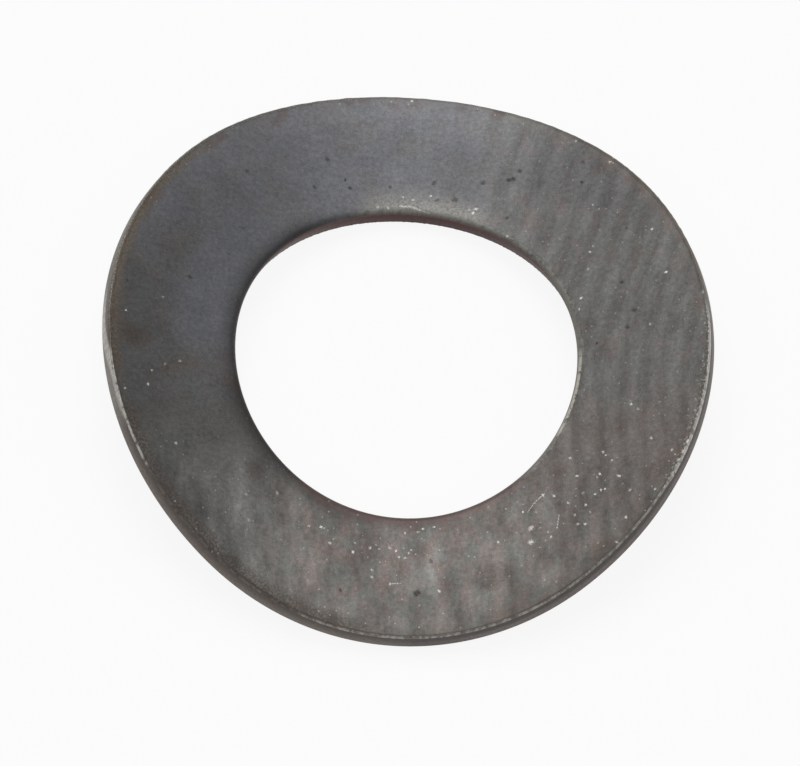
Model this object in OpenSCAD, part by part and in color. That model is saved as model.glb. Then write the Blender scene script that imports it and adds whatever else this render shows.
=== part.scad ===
// Curved spring washer: a flat ring punched from spring steel strip, then bent round one line.
// It lies on the underside of its bend, with the hollow side up and two opposite ends of the rim raised.
// The origin is under the middle of the hole, at the surface that the washer lies on.
// X runs along the curve, Y along the line that the ring is bent round, and Z points up.

/* [Blank] */
// Diameter of the hole as it is punched in the flat ring
hole_d = 8.4; // [7.4:0.1:9.4]
// Outside diameter of the flat ring
outside_d = 15; // [14.4:0.1:17]
// Thickness of the strip
sheet_t = 0.5; // [0.3:0.05:0.8]

/* [Bend] */
// Free height of the bent washer, from what it lies on to the tips of its raised ends
free_h = 2.25; // [1.7:0.05:2.5]
// Radius of the bend at the middle of the sheet
bend_r = 13; // [9:0.5:14]

/* [Punched edges] */
// Width of the rolled edge, round the top of the hole and the underside of the rim
roll_w = 0.2; // [0.05:0.05:0.4]
// Depth of the rolled edge
roll_depth = 0.12; // [0.04:0.02:0.2]
// Width of the worn break along the top of the rim
break_w = 0.04; // [0.02:0.01:0.1]

/* [Hidden] */

hole_r = hole_d / 2;
rim_r = outside_d / 2;
// The middle of the sheet is layer 0, so its two faces are these layers.
top = sheet_t / 2;
bottom = -top;
bend_z = bend_r - bottom;
clear_z = 1;

// The slope of the ends is searched for between level and this, by halving this many times.
steepest_slope = 60;
slope_tries = 30;

// Steps round the ring, across its two faces and round each rolled edge
ring_steps = 180;
face_steps = 6;
roll_steps = 4;
// A rolled edge at the hole stops short of upright, so that the wall of the hole cuts it cleanly.
hole_roll_angle = 70;
// Angle to each side of the bend's line over which the two sides of the hole run into each other
corner_angle = 12;

// The middle of the sheet follows an arc for the first stretch to each side, and is straight after it.
function bend_angle(length) = length / bend_r * 180 / PI;
function bend_length(angle) = bend_r * angle * PI / 180;

// Place of the point at distance u along the curve and y along the bend's line, on one layer of the sheet
function bent(u, y, layer, slope) =
    let (angle = min(bend_angle(abs(u)), slope))
    let (straight = abs(u) - bend_length(angle))
    let (x = (bend_r - layer) * sin(angle) + straight * cos(angle))
    let (z = bend_z - (bend_r - layer) * cos(angle) + straight * sin(angle))
    [sign(u) * x, y, z];

// Height of a layer above the plan position x
function layer_z(x, layer, slope) =
    let (radius = bend_r - layer)
    let (arc_x = min(abs(x), radius * sin(slope)))
    bend_z - sqrt(radius ^ 2 - arc_x ^ 2) + (abs(x) - arc_x) * tan(slope);

// Height of the tips of the raised ends, where the worn break of the rim starts
function tip_z(slope) = bent(rim_r - break_w, 0, top, slope).z;

// Slope of the straight ends, in degrees, at which the tips stand at the free height
function slope_for(height, low, high, tries) =
    let (middle = (low + high) / 2)
    tries == 0 ? middle
    : tip_z(middle) < height ? slope_for(height, middle, high, tries - 1)
    : slope_for(height, low, middle, tries - 1);
end_slope = slope_for(free_h, 0, steepest_slope, slope_tries);

// The bend draws the sides of the hole in by this much, which leaves the hole a little oval in plan.
hole_draw = hole_r - bent(hole_r, 0, 0, end_slope).x;

// Distance of a side of the hole from the middle, in plan, at the angle t round it
function side_edge(t) = sqrt(hole_r ^ 2 - (hole_draw * sin(t)) ^ 2) - hole_draw * abs(cos(t));

// The sides would meet in a corner at the bend's line, and a round end at this distance takes it off.
hole_end_r = side_edge(90 - corner_angle);

// Distance of the wall of the hole from the middle
function hole_edge(t) = min(side_edge(t), hole_end_r);

// A point of a layer at a distance from the middle in plan
function plan_point(t, r, layer) =
    [r * cos(t), r * sin(t), layer_z(r * cos(t), layer, end_slope)];

// A point of a layer at a distance from the middle in the flat ring
function blank_point(t, r, layer) = bent(r * cos(t), r * sin(t), layer, end_slope);

// Points of a layer between two of its points, without the two
function between(a, b, layer) = [
    for (i = [1 : face_steps - 1])
        let (p = a + (b - a) * i / face_steps)
        [p.x, p.y, layer_z(p.x, layer, end_slope)]
];

// Rolled upper edge of the hole, from the face down to where the wall cuts it
function hole_roll(t) = [
    for (i = [0 : roll_steps])
        let (a = hole_roll_angle * i / roll_steps)
        plan_point(t, hole_edge(t) + roll_w * (1 - sin(a)), top - roll_depth * (1 - cos(a)))
];

// Rolled lower edge of the rim, from the underside up to the wall
function rim_roll(t) = [
    for (i = [0 : roll_steps])
        let (a = 90 * i / roll_steps)
        blank_point(t, rim_r - roll_w * (1 - sin(a)), bottom + roll_depth * (1 - cos(a)))
];

// The worn upper edge of the rim
function rim_break(t) = [
    blank_point(t, rim_r, top - break_w),
    blank_point(t, rim_r - break_w, top)
];

// The section of the ring at the angle t, with some stock inside the hole for its wall to be cut from
function section(t) =
    let (inner = hole_roll(t))
    let (stock = plan_point(t, hole_edge(t) - roll_w, bottom))
    let (lower = rim_roll(t))
    let (upper = rim_break(t))
    concat(inner, [stock], between(stock, lower[0], bottom), lower, upper, between(upper[1], inner[0], top));

// A closed ring through the same number of points at every angle
module ring_through(sections) {
    rings = len(sections);
    size = len(sections[0]);
    polyhedron(
        points = [for (s = sections) each s],
        faces = [
            for (i = [0 : rings - 1], j = [0 : size - 1])
                let (next_ring = (i + 1) % rings, next = (j + 1) % size)
                let (a = i * size + j, b = i * size + next)
                let (c = next_ring * size + next, d = next_ring * size + j)
                each [[a, b, c], [a, c, d]]
        ]
    );
}

// An upright round hole, moved along the curve
module round_hole(r, x) {
    translate([x, 0, -clear_z])
        cylinder(r = r, h = free_h + 2 * clear_z, $fn = ring_steps);
}

// The sides of the hole are two arcs, each moved in by the draw, and its ends are two more.
module hole() {
    intersection() {
        round_hole(hole_r, -hole_draw);
        round_hole(hole_r, hole_draw);
        round_hole(hole_end_r, 0);
    }
}

module washer() {
    color("dimgray")
        difference() {
            ring_through([for (i = [0 : ring_steps - 1]) section(i * 360 / ring_steps)]);
            hole();
        }
}

washer();
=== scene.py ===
"""Curved spring washer of dark spring steel, lying on a pale floor."""
import math

import bpy
import numpy as np
from mathutils import Matrix, Vector


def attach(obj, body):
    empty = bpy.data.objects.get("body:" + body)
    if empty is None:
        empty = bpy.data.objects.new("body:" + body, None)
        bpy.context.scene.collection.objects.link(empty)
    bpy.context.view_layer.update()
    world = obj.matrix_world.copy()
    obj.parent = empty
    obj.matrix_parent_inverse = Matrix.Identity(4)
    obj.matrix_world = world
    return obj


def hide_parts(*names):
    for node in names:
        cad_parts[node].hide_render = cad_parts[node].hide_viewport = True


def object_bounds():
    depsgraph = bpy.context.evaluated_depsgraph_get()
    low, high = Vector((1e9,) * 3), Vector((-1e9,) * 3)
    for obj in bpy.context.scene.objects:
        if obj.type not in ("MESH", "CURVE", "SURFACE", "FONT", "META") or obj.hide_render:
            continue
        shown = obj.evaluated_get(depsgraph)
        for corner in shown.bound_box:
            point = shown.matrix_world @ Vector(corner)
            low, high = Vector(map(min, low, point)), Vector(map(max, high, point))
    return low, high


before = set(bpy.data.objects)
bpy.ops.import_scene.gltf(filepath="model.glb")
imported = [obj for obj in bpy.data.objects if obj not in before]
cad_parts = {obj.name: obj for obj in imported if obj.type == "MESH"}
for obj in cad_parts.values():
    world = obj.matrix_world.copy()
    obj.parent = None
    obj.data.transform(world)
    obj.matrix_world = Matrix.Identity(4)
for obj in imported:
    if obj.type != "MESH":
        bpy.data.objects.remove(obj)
cad_low, cad_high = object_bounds()

# Metres in a millimetre. Sizes below are in millimetres, as in the part's source.
MM = 0.001

# The blank and its bend. The slope of the ends is searched for between level and the steepest one.
HOLE_R = 4.2
RIM_R = 7.5
SHEET_T = 0.5
TOP = SHEET_T / 2
BOTTOM = -TOP
BEND_R = 13.0
FREE_H = (cad_high.z - cad_low.z) / MM
STEEPEST_SLOPE = math.pi / 3
SLOPE_TRIES = 40

# The punched edges: rolled edges, the rough part of each wall and the worn lip along the top of the rim
ROLL_W = 0.2
ROLL_DEPTH = 0.12
ROUGH_LAYER = 0.02
HOLE_FLARE = 0.03
RIM_DRAFT = 0.006
BREAK_W = 0.04
CREST_GAP = 0.02
CREST_W = 0.02
LIP_H = 0.008
LIP_W = 0.1
EDGE_NOISE = 0.008

# How deep the middle of the break lies, as a share of its width; how high the inner side of the crest
# is, and how deep the dip inside it and the end of that dip are, as shares of the lip's height; where
# the dip lies, as a share of the lip's width; and how much the wear varies round the ring
BREAK_SHARE = 0.3
CREST_SHARE = 0.8
DIP_SHARE = 0.35
DIP_END_SHARE = 0.2
DIP_PLACE = 0.55
WEAR_SHARE = 0.6

# Ripples round the ring, each as (seed, number of waves, fewest periods, most periods)
WORN_WAVES = (3, 40, 8, 160)
ROUGH_WAVES = (4, 60, 20, 220)
FINE_WAVES = (5, 60, 60, 300)

# The rolling bands: how many there are in a millimetre near the bend, and how that grows to the right;
# how far they lean over and bow for each millimetre towards the back, and how round the bow's middle is;
# and how far the uneven drift shifts them, in bands
BAND_RATE = 1.18
BAND_GAIN = 0.07
BAND_LEAN = 0.11
BAND_BOW = 0.24
BOW_R = 2.0
BAND_DRIFT = 0.45

# Steps round the ring, across its faces, round each rolled edge and down each wall
RING_STEPS = 960
TOP_STEPS = 34
UNDER_STEPS = 14
ROLL_STEPS = 9
WALL_STEPS = 8

# The camera's angles in degrees, its distance from the target, and where the photograph has the target
ELEVATION = 59.38
HEADING = 4.56
CAMERA_ROLL = -7.42
DISTANCE = 233.0
TARGET = Vector((0, 0, 1.0))
TARGET_PX = (406.3, 352.6)
IMAGE_PX = (800, 766)
PX_PER_MM = 41.962
SENSOR_W = 36.0
NEAREST_SEEN = 10.0
FARTHEST_SEEN = 10000.0

# How often the height of the sheet under a pixel is worked out anew, to find where the pixel's ray ends
HEIGHT_TRIES = 12

# The lamp at the upper left, with its power in watts, and the brightness of the pale room
LAMP_PLACE = (-60.0, 240.0, 400.0)
LAMP_W = 340.0
LAMP_POWER = 1.17
ROOM_LIGHT = 0.39

# The floor: half its width, how pale it is, and the share of plain white in what the camera sees of it
FLOOR_HALF_W = 2000.0
FLOOR_GREY = 0.9
WHITE_SHARE = 0.9

# The steel's skin: its gloss, which the grain dulls and wear polishes, and its relief
METAL_SHARE = 0.6
ROUGHNESS = 0.38
GRAIN_ROUGHNESS = 0.2
WORN_POLISH = 0.12
RELIEF_STRENGTH = 0.35
RELIEF_DEPTH = 0.02

# Where the Mix node keeps its two colours and its result
FIRST_COLOUR = 6
SECOND_COLOUR = 7
MIXED_COLOUR = 2

# Marks that the photograph shows on the upper face, each as (across, down, radius) in its pixels
PITS_PX = [
    (247, 171, 1.7), (327, 159, 1.8), (314, 187, 1.7), (345, 180, 1.2), (350, 188, 1.3),
    (243, 228, 1.6), (190, 277, 2.0), (127, 280, 1.3), (229, 254, 1.0), (390, 187, 1.2),
    (434, 183, 1.3), (483, 183, 1.6), (520, 171, 1.4), (583, 162, 1.5), (582, 182, 1.1),
    (437, 200, 1.3), (455, 200, 1.9), (507, 218, 1.3), (627, 228, 1.3), (622, 282, 1.4),
    (635, 310, 1.6), (628, 327, 1.5), (597, 343, 1.2), (417, 593, 2.2), (431, 561, 1.4),
    (340, 590, 1.2), (509, 180, 1.6), (513, 179, 1.6),
]
FLECKS_PX = [
    (476, 209, 1.7), (473, 213, 1.3), (507, 236, 1.3), (412, 101, 1.2), (576, 141, 1.3),
    (610, 162, 1.3), (593, 205, 1.1), (599, 209, 1.0), (590, 252, 1.2), (588, 269, 1.0),
    (593, 246, 1.0), (666, 272, 1.4), (652, 229, 1.2), (703, 292, 1.6), (581, 298, 1.5),
    (579, 309, 1.1), (650, 324, 1.3), (631, 404, 1.3), (638, 409, 1.4), (651, 438, 1.4),
    (672, 450, 1.4), (603, 452, 1.4), (163, 297, 1.3), (126, 310, 1.1), (165, 364, 1.2),
    (180, 361, 1.4), (152, 370, 1.1), (148, 384, 1.3), (125, 388, 1.1), (176, 443, 1.5),
    (246, 494, 1.4), (277, 493, 1.6), (249, 520, 1.5), (370, 548, 1.3), (390, 548, 1.5),
    (372, 570, 1.2), (372, 577, 1.4), (390, 584, 1.5), (330, 543, 1.5), (353, 552, 1.4),
    (309, 526, 1.2), (321, 527, 1.4), (324, 528, 1.0), (405, 533, 1.3), (418, 532, 1.4),
    (423, 529, 1.2), (434, 527, 1.1), (399, 557, 1.2), (405, 558, 1.0), (409, 553, 1.2),
    (439, 591, 1.5), (319, 589, 1.1), (376, 545, 1.1), (379, 549, 1.1), (355, 543, 1.1),
    (531, 528, 2.6), (531, 542, 2.6), (543, 495, 1.4), (554, 496, 1.4), (577, 476, 1.3),
    (570, 458, 1.4), (583, 493, 1.5), (586, 505, 1.3), (590, 512, 1.0), (595, 494, 1.1),
    (601, 490, 1.2), (605, 489, 1.1), (619, 476, 1.4), (600, 474, 1.2), (578, 524, 1.4),
    (585, 524, 1.4), (630, 490, 1.4), (655, 489, 1.2), (617, 542, 1.5), (626, 517, 1.4),
    (548, 532, 1.2), (551, 537, 1.1), (575, 515, 1.1), (568, 503, 1.2), (597, 477, 1.1),
    (498, 542, 1.2), (536, 512, 1.2), (523, 512, 1.1), (606, 455, 1.0), (612, 460, 1.1),
    (396, 551, 1.1), (411, 550, 1.0), (378, 207, 1.5), (388, 208, 1.2), (469, 210, 1.1),
    (688, 441, 1.9), (684, 451, 2.1), (679, 460, 2.1), (676, 466, 1.7), (673, 473, 1.8),
    (668, 483, 1.8), (665, 487, 1.4), (413, 200, 1.2), (403, 197, 1.0), (431, 196, 1.1),
]

# Scratches, each as the two ends and the radius in the photograph's pixels
SCRATCHES_PX = [
    (545, 493, 534, 503, 0.5), (534, 503, 528, 512, 0.45), (559, 515, 557, 528, 0.5),
    (391, 584, 401, 583, 0.45), (400, 206, 412, 207, 0.9), (412, 207, 420, 210, 0.8),
    (420, 210, 430, 213, 0.4),
]

# How many times a mark may be turned round at random, at most
MARK_TURNS = 3

# Stains, each as (across, down, radius) in the photograph's pixels
STAINS_PX = [
    (350, 101, 9), (366, 101, 9), (276, 122, 7), (136, 335, 15), (168, 490, 10), (182, 512, 12),
    (205, 548, 8), (696, 243, 13), (662, 205, 12), (640, 188, 9), (640, 252, 9), (462, 107, 8),
    (498, 113, 10), (600, 168, 8), (402, 575, 11), (352, 566, 9), (330, 620, 8), (420, 552, 9),
    (545, 240, 9), (255, 470, 14), (622, 425, 16), (655, 470, 14), (560, 470, 11), (600, 545, 12),
]


def bent(u, v, layer, slope):
    """Where a point of the flat ring is once the ring is bent round the Y axis."""
    angle = np.minimum(np.abs(u) / BEND_R, slope)
    straight = np.abs(u) - BEND_R * angle
    x = (BEND_R - layer) * np.sin(angle) + straight * np.cos(angle)
    z = BEND_R + TOP - (BEND_R - layer) * np.cos(angle) + straight * np.sin(angle)
    return np.sign(u) * x, v, z


def slope_for(height):
    """Slope of the straight ends, in radians, at which the tips stand at this height."""
    low, high = 0.0, STEEPEST_SLOPE
    for _ in range(SLOPE_TRIES):
        middle = (low + high) / 2
        tip = bent(RIM_R - BREAK_W, 0, TOP, middle)[2]
        low, high = (middle, high) if tip < height else (low, middle)
    return low


END_SLOPE = slope_for(FREE_H)


def wave(angle, seed, count, first, last):
    """A smooth ripple round the ring, from -1 to 1, of waves between two numbers of periods."""
    random = np.random.default_rng(seed)
    periods = random.integers(first, last, count)
    phases = random.uniform(0, 2 * math.pi, count)
    strengths = random.uniform(0.4, 1.0, count)
    total = sum(s * np.sin(p * angle + f) for p, f, s in zip(periods, phases, strengths))
    return total / np.abs(total).max()


def section(angle):
    """The section of the blank at every angle: lists of its distances from the middle and its layers."""
    rows = []

    def add(distance, layer):
        """One point of the section, given for every angle or as one number for all of them."""
        rows.append((distance + 0 * angle, layer + 0 * angle))

    worn = 1 + WEAR_SHARE * wave(angle, *WORN_WAVES)
    rough = EDGE_NOISE * wave(angle, *ROUGH_WAVES)
    fine = EDGE_NOISE * wave(angle, *FINE_WAVES)
    quarter = np.linspace(0, math.pi / 2, ROLL_STEPS)
    for a in quarter:
        add(HOLE_R + ROLL_W * (1 - math.sin(a)), TOP - ROLL_DEPTH * (1 - math.cos(a)))
    for share in np.linspace(0, 1, WALL_STEPS)[1:]:
        layer = TOP - ROLL_DEPTH + share * (BOTTOM + BREAK_W - TOP + ROLL_DEPTH)
        torn = np.clip((ROUGH_LAYER - layer) / SHEET_T, 0, 1)
        add(HOLE_R + torn * (2 * HOLE_FLARE + 2 * fine), layer)
    add(HOLE_R + HOLE_FLARE + BREAK_W / 2 + rough / 2, BOTTOM + BREAK_W / 4)
    inner = HOLE_R + HOLE_FLARE + BREAK_W + rough / 2
    for share in np.linspace(0, 1, UNDER_STEPS)[:-1]:
        add(inner + share * (RIM_R - ROLL_W - inner), BOTTOM)
    for a in quarter:
        add(RIM_R - ROLL_W * (1 - math.sin(a)), BOTTOM + ROLL_DEPTH * (1 - math.cos(a)))
    for share in np.linspace(0, 1, WALL_STEPS)[1:]:
        layer = BOTTOM + ROLL_DEPTH + share * (TOP - BREAK_W - BOTTOM - ROLL_DEPTH)
        torn = np.clip((layer + ROUGH_LAYER) / TOP, 0, 1)
        add(RIM_R - torn * (RIM_DRAFT + fine), layer)
    crest = RIM_R - RIM_DRAFT - CREST_GAP * worn
    add((RIM_R - RIM_DRAFT + crest) / 2 - rough / 2, TOP - BREAK_W * BREAK_SHARE)
    add(crest, TOP + LIP_H * worn)
    add(crest - CREST_W, TOP + LIP_H * worn * CREST_SHARE)
    add(crest - LIP_W * DIP_PLACE, TOP - LIP_H * DIP_SHARE)
    add(crest - LIP_W, TOP - LIP_H * DIP_END_SHARE)
    start = RIM_R - RIM_DRAFT - 2 * BREAK_W - LIP_W
    for share in np.linspace(0, 1, TOP_STEPS)[:-1]:
        add(start + share * (HOLE_R + ROLL_W - start), TOP)
    return np.array([r for r, _ in rows]).T, np.array([w for _, w in rows]).T


def ring_mesh():
    """The washer as one closed skin, with the place of each vertex in the flat ring kept with it."""
    steps = np.arange(RING_STEPS) * 2 * math.pi / RING_STEPS
    distance, layer = section(steps)
    rings, size = distance.shape
    u = distance * np.cos(steps)[:, None]
    v = distance * np.sin(steps)[:, None]
    x, y, z = bent(u, v, layer, END_SLOPE)
    points = np.stack([x, y, z], -1).reshape(-1, 3) * MM
    index = np.arange(rings * size).reshape(rings, size)
    ahead = np.roll(index, -1, axis=0)
    beside = np.roll(index, -1, axis=1)
    corner = np.roll(ahead, -1, axis=1)
    faces = np.stack([index, beside, corner, ahead], -1).reshape(-1, 4)
    mesh = bpy.data.meshes.new("washer_steel")
    mesh.from_pydata(points.tolist(), [], faces.tolist())
    mesh.polygons.foreach_set("use_smooth", np.ones(len(mesh.polygons), bool))
    flat = np.stack([u, v, layer], -1).reshape(-1, 3)
    keep_vectors(mesh, "flat", "POINT", flat)
    middles = flat[faces].mean(axis=1)
    keep_vectors(mesh, "pit", "FACE", nearest_marks(middles, PITS_PX))
    keep_vectors(mesh, "fleck", "FACE", nearest_marks(middles, FLECKS_PX))
    keep_vectors(mesh, "stain", "FACE", nearest_marks(middles, STAINS_PX))
    mesh.update()
    return mesh


def keep_vectors(mesh, name, domain, vectors):
    """Keeps one vector with each vertex or face, for the material to read."""
    made = mesh.attributes.new(name, "FLOAT_VECTOR", domain)
    made.data.foreach_set("vector", vectors.astype(np.float32).ravel())


def nearest_marks(middles, marks):
    """For each face, the mark that is nearest to it: its place in the flat ring and its radius."""
    places = np.array([(*on_sheet(across, down), radius / PX_PER_MM) for across, down, radius in marks])
    gaps = np.linalg.norm(middles[:, None, :2] - places[None, :, :2], axis=2)
    return places[gaps.argmin(axis=1)]


def camera_axes():
    """The camera's right, its up and the way back from the target to it."""
    elevation, heading, roll = (math.radians(a) for a in (ELEVATION, HEADING, CAMERA_ROLL))
    right = Vector((math.cos(heading), -math.sin(heading), 0))
    ahead = Vector((math.sin(heading), math.cos(heading), 0))
    level_up = ahead * math.sin(elevation) + Vector((0, 0, math.cos(elevation)))
    back = Vector((0, 0, math.sin(elevation))) - ahead * math.cos(elevation)
    turned_right = right * math.cos(roll) - level_up * math.sin(roll)
    turned_up = right * math.sin(roll) + level_up * math.cos(roll)
    return turned_right, turned_up, back


def camera_place():
    """Where the camera stands, in millimetres: straight behind the middle of the picture."""
    right, up, back = camera_axes()
    across = (TARGET_PX[0] - IMAGE_PX[0] / 2) / PX_PER_MM
    above = (IMAGE_PX[1] / 2 - TARGET_PX[1]) / PX_PER_MM
    return TARGET - right * across - up * above + back * DISTANCE


def add_camera():
    """A long lens at the photograph's angle."""
    right, up, back = camera_axes()
    data = bpy.data.cameras.new("camera")
    data.sensor_width = SENSOR_W
    data.lens = SENSOR_W * PX_PER_MM * DISTANCE / IMAGE_PX[0]
    data.clip_start = NEAREST_SEEN * MM
    data.clip_end = FARTHEST_SEEN * MM
    camera = bpy.data.objects.new("camera", data)
    turn = Matrix((right, up, back)).transposed().to_4x4()
    camera.matrix_world = Matrix.Translation(camera_place() * MM) @ turn
    bpy.context.scene.collection.objects.link(camera)
    bpy.context.scene.camera = camera


def on_sheet(across, down):
    """The place in the flat ring, on its upper face, of a pixel of the photograph."""
    right, up, back = camera_axes()
    eye = camera_place()
    focal = PX_PER_MM * DISTANCE
    ray = right * (across - IMAGE_PX[0] / 2) / focal + up * (IMAGE_PX[1] / 2 - down) / focal - back
    radius = BEND_R - TOP
    arc = radius * math.sin(END_SLOPE)
    height = SHEET_T
    for _ in range(HEIGHT_TRIES):
        point = eye + ray * (height - eye.z) / ray.z
        x = abs(point.x)
        height = BEND_R + TOP - math.sqrt(radius ** 2 - min(x, arc) ** 2)
        height += max(x - arc, 0) * math.tan(END_SLOPE)
    along = BEND_R * math.asin(min(x, arc) / radius) + max(x - arc, 0) / math.cos(END_SLOPE)
    return math.copysign(along, point.x), point.y


def linear(*colour):
    """A colour of the screen, from 0 to 255, as the linear one that the renderer wants."""
    shares = [c / 255 for c in colour]
    return [s / 12.92 if s <= 0.04045 else ((s + 0.055) / 1.055) ** 2.4 for s in shares] + [1.0]


class Net:
    """Short names for the nodes of one material."""

    def __init__(self, name):
        self.material = bpy.data.materials.new(name)
        self.material.use_nodes = True
        self.nodes = self.material.node_tree.nodes
        self.links = self.material.node_tree.links
        self.nodes.clear()

    def node(self, kind, **settings):
        """A new node with these settings."""
        made = self.nodes.new(kind)
        for name, value in settings.items():
            setattr(made, name, value)
        return made

    def feed(self, socket, value):
        """Gives a socket its value: what another node puts out, or a number, a place or a colour."""
        if isinstance(value, bpy.types.NodeSocket):
            self.links.new(value, socket)
        else:
            socket.default_value = value

    def math(self, operation, *values, clamp=False):
        """One sum with numbers."""
        made = self.node("ShaderNodeMath", operation=operation, use_clamp=clamp)
        for socket, value in zip(made.inputs, values):
            self.feed(socket, value)
        return made.outputs[0]

    def vector(self, operation, *values):
        """One sum with vectors."""
        made = self.node("ShaderNodeVectorMath", operation=operation)
        for socket, value in zip(made.inputs, values):
            self.feed(socket, value)
        return made.outputs["Value" if operation in ("LENGTH", "DISTANCE", "DOT_PRODUCT") else "Vector"]

    def combine(self, x, y, z):
        """A vector of three numbers."""
        made = self.node("ShaderNodeCombineXYZ")
        for socket, value in zip(made.inputs, (x, y, z)):
            self.feed(socket, value)
        return made.outputs[0]

    def ramp(self, value, low, high, to_low=0.0, to_high=1.0):
        """A smooth step from one result to another while the value goes from low to high."""
        made = self.node("ShaderNodeMapRange", interpolation_type="SMOOTHSTEP")
        for socket, item in zip(made.inputs, (value, low, high, to_low, to_high)):
            self.feed(socket, item)
        return made.outputs[0]

    def noise(self, place, scale, detail, roughness, distortion=0.0):
        """Cloudy noise at a place, about a half on average, with this many clouds in a millimetre."""
        made = self.node("ShaderNodeTexNoise", noise_dimensions="3D")
        self.feed(made.inputs["Vector"], place)
        made.inputs["Scale"].default_value = scale
        made.inputs["Detail"].default_value = detail
        made.inputs["Roughness"].default_value = roughness
        made.inputs["Distortion"].default_value = distortion
        return made.outputs["Fac"]

    def mix(self, share, first, second, blend="MIX"):
        """The first colour, with a share of the second one over it."""
        made = self.node("ShaderNodeMix", data_type="RGBA", blend_type=blend, clamp_factor=True)
        self.feed(made.inputs["Factor"], share)
        self.feed(made.inputs[FIRST_COLOUR], first)
        self.feed(made.inputs[SECOND_COLOUR], second)
        return made.outputs[MIXED_COLOUR]

    def most(self, values):
        """The largest of the values."""
        total = values[0]
        for value in values[1:]:
            total = self.math("MAXIMUM", total, value)
        return total


class Sheet:
    """Where on the ring the shaded point is: its place in the flat ring and the zones of its skin."""

    def __init__(self, net):
        read = net.node("ShaderNodeAttribute", attribute_name="flat", attribute_type="GEOMETRY")
        self.place = read.outputs["Vector"]
        parts = net.node("ShaderNodeSeparateXYZ")
        net.feed(parts.inputs[0], self.place)
        self.u, self.v, self.layer = parts.outputs
        self.level = net.combine(self.u, self.v, 0.0)
        self.distance = net.vector("LENGTH", self.level)
        self.rim_gap = net.math("SUBTRACT", RIM_R, self.distance)
        self.hole_gap = net.math("SUBTRACT", self.distance, HOLE_R)
        # Turns round the ring in degrees, from its right end and from its left one, towards the back
        self.turn = net.math("MULTIPLY", net.math("ARCTAN2", self.v, self.u), 180 / math.pi)
        mirrored = net.math("MULTIPLY", self.u, -1.0)
        self.left_turn = net.math("MULTIPLY", net.math("ARCTAN2", self.v, mirrored), 180 / math.pi)
        # Noises that more than one mark of the skin uses
        self.fine = net.noise(self.level, 34.0, 2.0, 0.6)
        self.ragged = net.noise(self.level, 7.0, 3.0, 0.6)
        self.teeth = net.noise(self.level, 15.0, 3.0, 0.7)
        self.drift = net.noise(self.level, 1.3, 3.0, 0.6)
        drawn = net.combine(self.u, net.math("MULTIPLY", self.v, 0.7), 7.0)
        self.blotch = net.noise(drawn, 2.3, 4.0, 0.6, 0.4)
        self.upper = net.ramp(self.layer, TOP - 0.05, TOP - 0.02)
        self.near_top = net.ramp(self.layer, TOP - 0.13, TOP - 0.09)
        below = net.ramp(self.layer, TOP - 0.02, TOP - 0.045)
        self.rim_wall = net.math("MULTIPLY", below, net.ramp(self.rim_gap, 0.12, 0.05))
        near_hole = net.ramp(self.hole_gap, 0.19, 0.14)
        self.hole_wall = net.math("MULTIPLY", net.ramp(self.layer, TOP - 0.02, TOP - 0.11), near_hole)
        # Parts of the face, as the camera of the photograph sees them
        self.right = net.ramp(self.u, 0.9, 2.6)
        self.back = net.ramp(self.v, 0.5, 3.5)
        self.front = net.ramp(net.math("MULTIPLY_ADD", self.ragged, 1.5, self.v), -1.0, -3.6)


def zone(net, value, low, high, soft):
    """One between two values, which falls to nothing over the soft stretch beyond each."""
    return net.math("MULTIPLY", net.ramp(value, low - soft, low), net.ramp(value, high + soft, high))


def stretch(net, angle, low, high, soft, gap, start, full):
    """A zone of the ring between two turns, which grows from one distance from an edge to another."""
    return net.math("MULTIPLY", zone(net, angle, low, high, soft), net.ramp(gap, start, full))


def times(net, *values):
    """The product of the values."""
    total = values[0]
    for value in values[1:]:
        total = net.math("MULTIPLY", total, value)
    return total


def grey(net, colour, factor):
    """The colour times a grey factor."""
    return net.mix(1.0, colour, net.combine(factor, factor, factor), "MULTIPLY")


def add_streaks(net, sheet):
    """Rolling marks of the strip: bands along the bend's line, which lean over towards the back."""
    bow = net.math("SQRT", net.math("MULTIPLY_ADD", sheet.v, sheet.v, BOW_R ** 2))
    bowed = net.math("MULTIPLY_ADD", bow, -BAND_BOW, sheet.u)
    across = net.math("MULTIPLY_ADD", sheet.v, -BAND_LEAN, bowed)
    wide = net.noise(net.combine(across, net.math("MULTIPLY", sheet.v, 0.24), 0.0), 2.5, 2.0, 0.55, 0.4)
    thin = net.noise(net.combine(across, net.math("MULTIPLY", sheet.v, 0.22), 4.0), 8.5, 2.0, 0.6)
    # The bands come a little closer to each other towards the right end.
    closer = net.math("MULTIPLY_ADD", across, BAND_GAIN, BAND_RATE)
    turns = net.math("MULTIPLY_ADD", sheet.drift, BAND_DRIFT, net.math("MULTIPLY", across, closer))
    even = net.math("SINE", net.math("MULTIPLY", turns, 2 * math.pi))
    mixed = net.math("MULTIPLY_ADD", wide, 0.42, net.math("MULTIPLY_ADD", thin, 0.27, 0.155))
    return net.math("MULTIPLY_ADD", even, 0.064, mixed)


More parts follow.
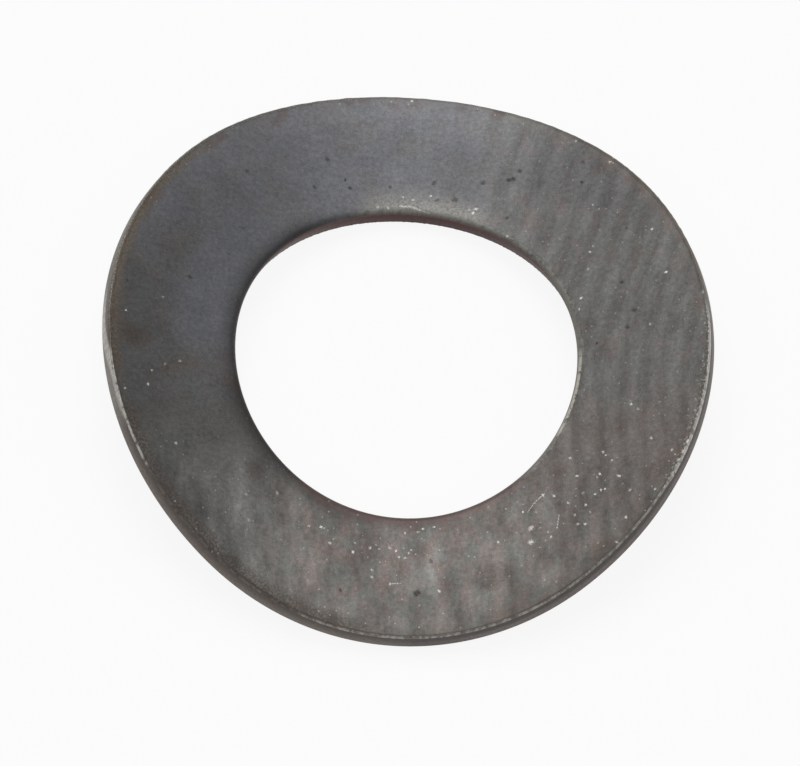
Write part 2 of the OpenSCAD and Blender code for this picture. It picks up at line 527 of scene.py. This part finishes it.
def mark_gap(net, sheet, name, thin=1.0):
    """Distance from the mark that is kept with the face, in radii of it, and the mark's random share."""
    read = net.node("ShaderNodeAttribute", attribute_name=name, attribute_type="GEOMETRY")
    parts = net.node("ShaderNodeSeparateXYZ")
    net.feed(parts.inputs[0], read.outputs["Vector"])
    middle = net.combine(parts.outputs[0], parts.outputs[1], 0.0)
    chance = net.node("ShaderNodeTexWhiteNoise", noise_dimensions="3D")
    net.feed(chance.inputs["Vector"], middle)
    turned = net.node("ShaderNodeVectorRotate", rotation_type="Z_AXIS")
    net.feed(turned.inputs["Vector"], net.vector("SUBTRACT", sheet.level, middle))
    angle = net.math("MULTIPLY", chance.outputs["Value"], 2 * math.pi * MARK_TURNS)
    net.feed(turned.inputs["Angle"], angle)
    gap = net.vector("LENGTH", net.vector("MULTIPLY", turned.outputs[0], (1.0 / thin, thin, 0.0)))
    return net.math("DIVIDE", gap, parts.outputs[2]), chance.outputs["Value"]


def mark_mask(net, sheet, name, faintest, spread):
    """One inside the mark, with a ragged soft edge; each mark has its own strength above the faintest."""
    gap, chance = mark_gap(net, sheet, name, thin=1.12)
    uneven = net.math("MULTIPLY_ADD", sheet.fine, -4.0, net.math("MULTIPLY_ADD", gap, 1.0 / spread, 2.0))
    strength = net.math("MULTIPLY_ADD", chance, 1.0 - faintest, faintest)
    return times(net, net.ramp(uneven, 1.6, 0.3), strength, sheet.upper)


def stain_mask(net, sheet):
    """One where the face has one of the stains, with a wide uneven edge."""
    gap, chance = mark_gap(net, sheet, "stain")
    uneven = net.math("MULTIPLY_ADD", sheet.ragged, -1.8, net.math("ADD", gap, 0.9))
    return times(net, net.ramp(uneven, 1.3, 0.2), net.math("MULTIPLY_ADD", chance, 0.5, 0.5), sheet.upper)


def scratch_mask(net, sheet):
    """One where the face has one of the scratches, which are broken along their length."""
    masks = []
    for x0, y0, x1, y1, radius in SCRATCHES_PX:
        start = Vector(on_sheet(x0, y0) + (0.0,))
        run = Vector(on_sheet(x1, y1) + (0.0,)) - start
        offset = net.vector("SUBTRACT", sheet.level, tuple(start))
        along = net.vector("DOT_PRODUCT", offset, tuple(run))
        share = net.math("DIVIDE", along, run.length_squared, clamp=True)
        nearest = net.vector("MULTIPLY", net.combine(share, share, 0.0), tuple(run))
        size = radius / PX_PER_MM
        masks.append(net.ramp(net.vector("DISTANCE", offset, nearest), 1.6 * size, 0.4 * size))
    return times(net, net.most(masks), net.ramp(sheet.fine, 0.42, 0.6), sheet.upper, 0.85)


def sparkle_mask(net, sheet):
    """One in tiny bright specks, most of them at the front, at the right and along the back rim."""
    cells = net.node("ShaderNodeTexVoronoi", voronoi_dimensions="2D", feature="F1")
    net.feed(cells.inputs["Vector"], sheet.level)
    cells.inputs["Scale"].default_value = 7.0
    parts = net.node("ShaderNodeSeparateColor")
    net.feed(parts.inputs[0], cells.outputs["Color"])
    size = net.ramp(parts.outputs[0], 0.8, 1.0, 0.0, 0.2)
    shown = net.ramp(net.math("SUBTRACT", size, cells.outputs["Distance"]), 0.0, 0.1)
    top_rim = net.math("MULTIPLY", sheet.back, net.ramp(sheet.rim_gap, 0.5, 0.1))
    where = net.most([sheet.front, net.math("MULTIPLY", sheet.right, 0.6), top_rim])
    return times(net, shown, net.math("MAXIMUM", where, 0.2), sheet.upper)


def face_colour(net, sheet, streaks):
    """The oxide of the faces: slate at the left and back, bluish at the back partly as a painted sheen,
    streaked at the right, mottled in front.
    """
    slate = linear(98, 98, 99)
    blue_slate_sheen = linear(101, 102, 106)
    brown_slate = linear(97, 92, 88)
    low_grey = linear(98, 98, 96)
    olive_grey = linear(104, 102, 99)
    plain_grey = linear(106, 106, 104)
    cool_grey_sheen = linear(104, 104, 105)
    warm_grey = linear(112, 101, 98)
    brown = linear(113, 102, 98)
    green_grey = linear(109, 109, 105)
    cloud = net.noise(sheet.level, 0.7, 4.0, 0.62)
    plain = net.mix(net.ramp(cloud, 0.4, 0.6), brown_slate, slate)
    inside = stretch(net, sheet.left_turn, -1.0, 40.0, 10.0, sheet.rim_gap, 1.0, 2.0)
    # Bluish at the back: partly a painted sheen of the pale room
    blue_and_sheen = net.math("MAXIMUM", times(net, sheet.back, net.ramp(cloud, 0.3, 0.6, 0.5, 1.0)), inside)
    plain = net.mix(blue_and_sheen, plain, blue_slate_sheen)
    low = net.math("MULTIPLY", zone(net, sheet.left_turn, -66.0, -28.0, 10.0), 0.75)
    plain = net.mix(low, plain, low_grey)
    streaked = net.mix(net.ramp(streaks, 0.36, 0.64), olive_grey, plain_grey)
    # Cooler grey towards the back: partly a painted sheen
    streaked = net.mix(net.ramp(sheet.v, 2.0, 4.8, 0.0, 0.6), streaked, cool_grey_sheen)
    streaked = net.mix(net.ramp(sheet.blotch, 0.52, 0.64, 0.0, 0.5), streaked, warm_grey)
    streaked = net.mix(net.ramp(sheet.v, -0.4, -2.6, 0.0, 0.5), streaked, brown)
    plainer = net.math("MULTIPLY", net.ramp(sheet.u, -1.2, -3.6), 0.75)
    outwards = times(net, net.ramp(sheet.rim_gap, 1.5, 0.3), net.ramp(sheet.u, 3.6, 2.0), 0.5)
    rightwards = net.math("MULTIPLY", net.ramp(sheet.u, 0.8, 2.6), 0.35)
    mottle = net.most([net.ramp(sheet.blotch, 0.39, 0.63), plainer, outwards, rightwards])
    mottled = net.mix(mottle, brown, green_grey)
    colour = net.mix(sheet.right, plain, streaked)
    patchy = net.math("MULTIPLY", sheet.front, net.ramp(sheet.u, -4.8, -2.4, 0.15, 1.0))
    return net.mix(net.math("MULTIPLY", patchy, 0.9), colour, mottled)


def tone_and_painted_light(net, sheet, streaks):
    """A grey factor: how dark the face is from place to place, much of it painted light and shade over
    the bend's sloping ends, the rims and round the hole, with the bands, patches and grain of its skin.
    """
    rim_gap, hole_gap, turn, left_turn = sheet.rim_gap, sheet.hole_gap, sheet.turn, sheet.left_turn
    # Places of the face, each with what it adds to the factor: painted light and shade, lighter or darker
    # as the bend and the edges face the light
    parts = [
        (net.ramp(sheet.u, -4.2, -6.5), -0.16),
        (net.math("MULTIPLY", sheet.front, net.ramp(sheet.u, -0.8, -3.3)), 0.24),
        (stretch(net, turn, 72.0, 155.0, 22.0, rim_gap, 1.7, 0.0), 0.32),
        (stretch(net, turn, -120.0, -40.0, 15.0, rim_gap, 0.5, 0.05), -0.26),
        (stretch(net, turn, 46.0, 66.0, 10.0, hole_gap, 0.6, 1.4), -0.055),
        (stretch(net, turn, 28.0, 42.0, 7.0, rim_gap, 0.9, 0.3), 0.07),
        (stretch(net, turn, -24.0, 2.0, 10.0, rim_gap, 0.7, 0.2), -0.1),
        (stretch(net, turn, -50.0, -28.0, 8.0, rim_gap, 1.2, 0.3), -0.07),
        (stretch(net, turn, -80.0, -60.0, 9.0, rim_gap, 0.9, 1.8), 0.09),
        (stretch(net, left_turn, -76.0, -20.0, 12.0, hole_gap, 1.1, 0.1), -0.3),
        (stretch(net, left_turn, -64.0, -38.0, 10.0, hole_gap, 1.8, 0.6), -0.08),
        (stretch(net, left_turn, -14.0, 24.0, 12.0, rim_gap, 1.4, 2.1), 0.085),
        (stretch(net, left_turn, -46.0, 28.0, 12.0, rim_gap, 1.7, 0.6), -0.085),
        (stretch(net, left_turn, -42.0, -24.0, 10.0, rim_gap, 1.4, 0.5), -0.06),
    ]
    # Painted shade: darker towards the right end, where the bend tilts the face
    oxide_and_painted_light = net.ramp(sheet.u, -1.5, 3.0, 1.0, 0.88)
    for mask, amount in parts:
        oxide_and_painted_light = net.math("MULTIPLY_ADD", mask, amount, oxide_and_painted_light)
    grain = net.noise(sheet.level, 10.0, 4.0, 0.75)
    rough = net.math("MULTIPLY_ADD", grain, 1.2, 0.4)
    fine = net.math("MULTIPLY_ADD", sheet.fine, 0.8, 0.6)
    cloudy = net.math("MULTIPLY_ADD", sheet.ragged, 0.5, net.math("MULTIPLY_ADD", sheet.drift, 0.6, 0.44))
    used = net.math("MAXIMUM", sheet.right, sheet.front)
    streaked = net.math("MULTIPLY", net.math("SUBTRACT", streaks, 0.5), used)
    bands = net.math("MULTIPLY_ADD", streaked, 1.45, 1.0)
    drawn = net.combine(sheet.u, net.math("MULTIPLY", sheet.v, 0.45), 3.0)
    uneven = net.math("SUBTRACT", net.noise(drawn, 1.9, 4.0, 0.6), 0.5)
    patches = net.math("MULTIPLY_ADD", net.math("MULTIPLY", uneven, sheet.front), 1.7, 1.01)
    return times(net, oxide_and_painted_light, rough, fine, cloudy, bands, patches)


def add_rim_tints(net, sheet, colour):
    """Brown and rust along the rim, most of it at the left towards the back, and the stains."""
    olive = linear(110, 103, 92)
    rust = linear(94, 78, 72)
    stain = linear(234, 225, 222)
    dark_brown = linear(72, 60, 55)
    low_brown = linear(74, 63, 56)
    rusty = linear(93, 76, 64)
    right_brown = linear(115, 105, 99)
    edge = net.math("MULTIPLY_ADD", sheet.ragged, -0.4, net.math("ADD", sheet.rim_gap, 0.2))
    back_left = zone(net, sheet.left_turn, -4.0, 36.0, 16.0)
    band = net.math("MULTIPLY", net.ramp(edge, 0.36, 0.06), net.math("MAXIMUM", back_left, 0.2))
    band = net.math("MULTIPLY", band, net.ramp(sheet.drift, 0.2, 0.5, 0.5, 0.95))
    colour = net.mix(band, colour, olive)
    rusted = times(net, net.ramp(edge, 0.42, 0.1), back_left, net.ramp(sheet.teeth, 0.46, 0.6))
    colour = net.mix(net.math("MULTIPLY", rusted, 0.65), colour, rusty)
    back_right = stretch(net, sheet.turn, 24.0, 56.0, 8.0, edge, 0.5, 0.15)
    colour = net.mix(times(net, back_right, net.ramp(sheet.blotch, 0.4, 0.56), 0.45), colour, right_brown)
    spots = net.math("MULTIPLY", net.ramp(edge, 0.55, 0.15), net.ramp(sheet.drift, 0.55, 0.66))
    colour = net.mix(net.math("MULTIPLY", spots, 0.5), colour, rust)
    low_left = zone(net, sheet.left_turn, -92.0, -34.0, 5.0)
    colour = net.mix(times(net, net.ramp(edge, 0.14, -0.04), low_left, 0.4), colour, dark_brown)
    patchy = net.ramp(sheet.teeth, 0.4, 0.58, 0.1, 1.2)
    shaded = stretch(net, sheet.left_turn, -80.0, -24.0, 8.0, edge, 0.52, 0.2)
    colour = net.mix(times(net, shaded, patchy, 0.6), colour, low_brown)
    tip_band = stretch(net, sheet.left_turn, -24.0, 0.0, 6.0, edge, 0.34, 0.12)
    colour = net.mix(times(net, tip_band, patchy, 0.45), colour, low_brown)
    front = zone(net, sheet.turn, -120.0, -55.0, 6.0)
    front_line = times(net, zone(net, sheet.rim_gap, 0.05, 0.08, 0.03), front)
    colour = net.mix(net.math("MULTIPLY", front_line, 0.6), colour, dark_brown)
    unworn_left = zone(net, sheet.left_turn, 4.0, 90.0, 4.0)
    unworn_right = zone(net, sheet.turn, 14.0, 90.0, 4.0)
    unworn = net.math("MAXIMUM", unworn_left, unworn_right)
    colour = net.mix(times(net, net.ramp(sheet.rim_gap, 0.07, 0.03), unworn, 0.75), colour, olive)
    return net.mix(stain_mask(net, sheet), colour, stain, "MULTIPLY")


def add_hole_tints(net, sheet, colour):
    """The hole's rolled edge: pale at the back, partly wear and partly painted light, worn pale at the
    right, painted shade dark at the left, brown in front.
    """
    dark = linear(48, 43, 43)
    brown = linear(108, 88, 84)
    pale = linear(148, 146, 139)
    pale_line = linear(150, 148, 139)
    bright = linear(215, 211, 198)
    gap = net.math("MULTIPLY_ADD", sheet.ragged, -0.3, net.math("ADD", sheet.hole_gap, 0.15))
    # Partly wear and partly painted light: the roll paler at the back, where it turns away from the lamp
    back = zone(net, sheet.turn, 72.0, 96.0, 14.0)
    worn = times(net, net.ramp(gap, 0.9, 0.0), back, sheet.near_top, 0.8)
    colour = net.mix(times(net, worn, net.ramp(sheet.teeth, 0.35, 0.62, 0.2, 1.1)), colour, pale)
    back_right = zone(net, sheet.turn, 26.0, 104.0, 8.0)
    line = times(net, zone(net, sheet.hole_gap, 0.06, 0.12, 0.05), back_right)
    colour = net.mix(times(net, line, net.ramp(sheet.ragged, 0.36, 0.56, 0.1, 0.65)), colour, pale_line)
    # Painted shade: the roll darker at the left, where it faces away from the light
    left = zone(net, sheet.left_turn, -100.0, 50.0, 22.0)
    colour = net.mix(times(net, net.ramp(gap, 0.6, -0.02), left, 0.72), colour, dark)
    front = zone(net, sheet.turn, -120.0, -50.0, 10.0)
    colour = net.mix(times(net, net.ramp(gap, 0.36, 0.05), front, 0.7), colour, brown)
    right = times(net, net.ramp(gap, 0.2, 0.08), zone(net, sheet.turn, -40.0, 30.0, 14.0))
    colour = net.mix(net.math("MULTIPLY", right, 0.8), colour, pale)
    side = times(net, zone(net, sheet.hole_gap, 0.07, 0.12, 0.03), zone(net, sheet.turn, -26.0, 0.0, 5.0))
    return net.mix(times(net, side, net.ramp(sheet.ragged, 0.35, 0.5), 0.85), colour, bright)


def wall_colour(net, sheet, colour):
    """The punched walls: brownish grey outside and darker to its top, with painted light on the low left
    and at the left tip, dark reddish brown in the hole.
    """
    outer = linear(112, 105, 101)
    front_wall = linear(98, 90, 87)
    outer_top = linear(80, 73, 70)
    # Lighter wall at the low left: painted light
    low_left = linear(116, 108, 102)
    low_left_top = linear(84, 75, 69)
    brown = linear(106, 98, 87)
    worn_and_lit_wall = linear(138, 134, 129)
    polished_and_lit = linear(194, 189, 182)
    tip_grey = linear(98, 92, 86)
    inner = linear(62, 46, 43)
    inner_back = linear(56, 20, 16)
    inner_top = linear(76, 43, 38)
    inner_roll = linear(112, 94, 89)
    place = net.combine(sheet.u, sheet.v, net.math("MULTIPLY", sheet.layer, 2.5))
    shade = net.math("MULTIPLY_ADD", net.noise(place, 12.0, 4.0, 0.75), 1.8, 0.1)
    # Painted light: the outer wall lighter at the low left, where it faces away from the lamp
    turned = zone(net, sheet.left_turn, -88.0, -4.0, 8.0)
    front_mix = net.mix(zone(net, sheet.turn, -112.0, -82.0, 8.0), outer, front_wall)
    plain = net.mix(net.ramp(sheet.layer, -0.02, 0.1), front_mix, outer_top)
    painted_light_left_wall = net.mix(net.ramp(sheet.layer, -0.12, 0.2), low_left, low_left_top)
    outer_mix = net.mix(turned, plain, painted_light_left_wall)
    # Painted light: the wall lighter at the left tip, partly as worn steel
    tip = zone(net, sheet.left_turn, -17.0, 3.0, 8.0)
    outer_mix = net.mix(net.math("MULTIPLY", tip, 0.75), outer_mix, worn_and_lit_wall)
    # At the left tip a bright band, partly burnished steel and partly a painted highlight, climbs across
    # the wall, which is plain grey above it.
    climb = net.math("SUBTRACT", sheet.layer, net.ramp(sheet.left_turn, -1.0, -15.0, -0.1, 0.25))
    beaded = net.ramp(sheet.teeth, 0.36, 0.6, 0.5, 1.0)
    beaded = net.math("MULTIPLY", beaded, net.ramp(sheet.fine, 0.35, 0.6, 0.6, 1.0))
    band = times(net, net.ramp(net.math("ABSOLUTE", climb), 0.18, 0.08), tip, beaded)
    outer_mix = net.mix(band, outer_mix, polished_and_lit)
    above = net.math("MULTIPLY", net.ramp(climb, 0.12, 0.2), zone(net, sheet.left_turn, -8.0, 12.0, 5.0))
    outer_mix = net.mix(above, outer_mix, tip_grey)
    back_left = zone(net, sheet.left_turn, 8.0, 90.0, 8.0)
    back = net.math("MAXIMUM", back_left, zone(net, sheet.turn, 12.0, 90.0, 10.0))
    outer_mix = grey(net, net.mix(net.math("MULTIPLY", back, 0.9), outer_mix, brown), shade)
    inner_mix = net.mix(zone(net, sheet.turn, 30.0, 150.0, 20.0), inner, inner_back)
    inner_mix = net.mix(net.ramp(sheet.layer, -0.05, 0.15), inner_mix, inner_top)
    inner_mix = grey(net, net.mix(net.ramp(sheet.layer, 0.12, 0.19), inner_mix, inner_roll), shade)
    colour = net.mix(sheet.rim_wall, colour, outer_mix)
    return net.mix(sheet.hole_wall, colour, inner_mix)


def edge_wear(net, sheet):
    """Bright steel along the top of the rim: a thin line, with worn specks inside it at the two ends."""
    left = zone(net, sheet.left_turn, -29.0, -12.0, 6.0)
    right = zone(net, sheet.turn, -27.0, 5.0, 6.0)
    front = zone(net, sheet.turn, -106.0, -27.0, 4.0)
    back_left = zone(net, sheet.left_turn, 0.0, 75.0, 8.0)
    ends = net.math("MAXIMUM", left, right)
    inner = net.math("MULTIPLY_ADD", sheet.teeth, -0.06, sheet.rim_gap)
    depth = net.math("MULTIPLY_ADD", right, -0.05, TOP - 0.045)
    above = net.ramp(net.math("SUBTRACT", sheet.layer, depth), -0.015, 0.01)
    inner = net.math("MULTIPLY_ADD", left, 0.004, inner)
    inner = net.math("MULTIPLY_ADD", right, 0.004, inner)
    line = net.math("MULTIPLY", net.ramp(inner, 0.015, -0.005), above)
    faintest = net.ramp(sheet.turn, -14.0, -24.0, 0.5, 0.15)
    strong = net.math("MULTIPLY", ends, net.ramp(sheet.ragged, 0.36, 0.56, faintest, 1.0))
    beads = times(net, front, net.ramp(sheet.ragged, 0.4, 0.6, 0.2, 0.65))
    low_left = zone(net, sheet.turn, -142.0, -106.0, 8.0)
    faint = times(net, low_left, net.ramp(sheet.ragged, 0.4, 0.62, 0.02, 0.17))
    line = net.math("MULTIPLY", line, net.most([strong, beads, faint]))
    width = net.math("MULTIPLY_ADD", right, 0.9, 0.4)
    reach = net.math("MULTIPLY", net.math("SUBTRACT", sheet.ragged, 0.44), width)
    border = net.ramp(net.math("SUBTRACT", sheet.rim_gap, reach), 0.03, -0.03)
    coarse = net.ramp(sheet.teeth, 0.42, 0.6)
    specks = times(net, border, coarse, net.ramp(sheet.fine, 0.42, 0.6), above, ends)
    near_rim = net.ramp(sheet.rim_gap, 0.1, 0.05)
    dots = times(net, back_left, near_rim, net.ramp(sheet.fine, 0.52, 0.66), above)
    return net.most([line, net.math("MULTIPLY", specks, 0.7), net.math("MULTIPLY", dots, 0.5)])


def spring_steel():
    """Dark oiled spring steel with a satin skin."""
    sparkle = linear(190, 188, 180)
    pit = linear(44, 40, 39)
    fleck = linear(225, 223, 214)
    bare_steel = linear(205, 202, 196)
    net = Net("spring_steel")
    sheet = Sheet(net)
    streaks = add_streaks(net, sheet)
    colour = grey(net, face_colour(net, sheet, streaks), tone_and_painted_light(net, sheet, streaks))
    colour = add_rim_tints(net, sheet, colour)
    colour = add_hole_tints(net, sheet, colour)
    colour = wall_colour(net, sheet, colour)
    wear = edge_wear(net, sheet)
    pits = mark_mask(net, sheet, "pit", faintest=0.55, spread=1.15)
    bright = mark_mask(net, sheet, "fleck", faintest=0.3, spread=0.9)
    flecks = net.math("MAXIMUM", bright, scratch_mask(net, sheet))
    colour = net.mix(net.math("MULTIPLY", sparkle_mask(net, sheet), 0.45), colour, sparkle)
    colour = net.mix(net.math("MULTIPLY", pits, 0.85), colour, pit)
    colour = net.mix(net.math("MULTIPLY", flecks, 0.9), colour, fleck)
    colour = net.mix(net.math("MULTIPLY", wear, 0.85), colour, bare_steel)
    shader = net.node("ShaderNodeBsdfPrincipled")
    net.feed(shader.inputs["Base Color"], colour)
    shader.inputs["Metallic"].default_value = METAL_SHARE
    grain = net.noise(sheet.place, 30.0, 4.0, 0.7)
    roughness = net.math("MULTIPLY_ADD", grain, GRAIN_ROUGHNESS, ROUGHNESS)
    roughness = net.math("MULTIPLY_ADD", wear, -WORN_POLISH, roughness)
    net.feed(shader.inputs["Roughness"], roughness)
    bump = net.node("ShaderNodeBump")
    bump.inputs["Strength"].default_value = RELIEF_STRENGTH
    bump.inputs["Distance"].default_value = RELIEF_DEPTH * MM
    height = net.math("MULTIPLY_ADD", streaks, 0.4, grain)
    height = net.math("MULTIPLY_ADD", pits, -1.5, height)
    net.feed(bump.inputs["Height"], height)
    net.feed(shader.inputs["Normal"], bump.outputs[0])
    output = net.node("ShaderNodeOutputMaterial")
    net.feed(output.inputs["Surface"], shader.outputs[0])
    return net.material


def seen_white(net, shader):
    """The shader, with plain white over it for the camera and for what mirrors it."""
    path = net.node("ShaderNodeLightPath")
    rays = ("Is Camera Ray", "Is Glossy Ray", "Is Transmission Ray")
    seen = net.most([path.outputs[ray] for ray in rays])
    white = net.node("ShaderNodeEmission")
    white.inputs["Strength"].default_value = 1.0
    both = net.node("ShaderNodeMixShader")
    net.feed(both.inputs[0], net.math("MULTIPLY", seen, WHITE_SHARE))
    net.feed(both.inputs[1], shader.outputs[0])
    net.feed(both.inputs[2], white.outputs[0])
    return both


def add_floor():
    """A plain white floor, which keeps a soft shadow."""
    net = Net("floor")
    matte = net.node("ShaderNodeBsdfDiffuse")
    matte.inputs["Color"].default_value = (FLOOR_GREY, FLOOR_GREY, FLOOR_GREY, 1)
    output = net.node("ShaderNodeOutputMaterial")
    net.feed(output.inputs["Surface"], seen_white(net, matte).outputs[0])
    size = FLOOR_HALF_W * MM
    mesh = bpy.data.meshes.new("floor")
    corners = [(-size, -size, 0), (size, -size, 0), (size, size, 0), (-size, size, 0)]
    mesh.from_pydata(corners, [], [(0, 1, 2, 3)])
    mesh.materials.append(net.material)
    floor = bpy.data.objects.new("floor", mesh)
    bpy.context.scene.collection.objects.link(floor)


def add_room():
    """A pale room, which lights the washer from all sides."""
    world = bpy.data.worlds.new("world")
    world.use_nodes = True
    background = world.node_tree.nodes["Background"]
    background.inputs["Color"].default_value = (1, 1, 1, 1)
    background.inputs["Strength"].default_value = ROOM_LIGHT
    bpy.context.scene.world = world


def add_lamp():
    """One large soft square lamp at the upper left, which faces the washer."""
    data = bpy.data.lights.new("key", "AREA")
    data.size = LAMP_W * MM
    data.energy = LAMP_POWER
    lamp = bpy.data.objects.new("key", data)
    lamp.location = Vector(LAMP_PLACE) * MM
    lamp.rotation_euler = (-Vector(LAMP_PLACE)).to_track_quat("-Z", "Y").to_euler()
    bpy.context.scene.collection.objects.link(lamp)


def main():
    """The washer, and the floor, the light and the camera round it."""
    washer = bpy.data.objects.new("washer_steel", ring_mesh())
    washer.data.materials.append(spring_steel())
    bpy.context.scene.collection.objects.link(washer)
    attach(washer, "root")
    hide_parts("washer")
    add_floor()
    add_room()
    add_lamp()
    add_camera()
    bpy.context.scene.view_settings.view_transform = "Standard"


main()
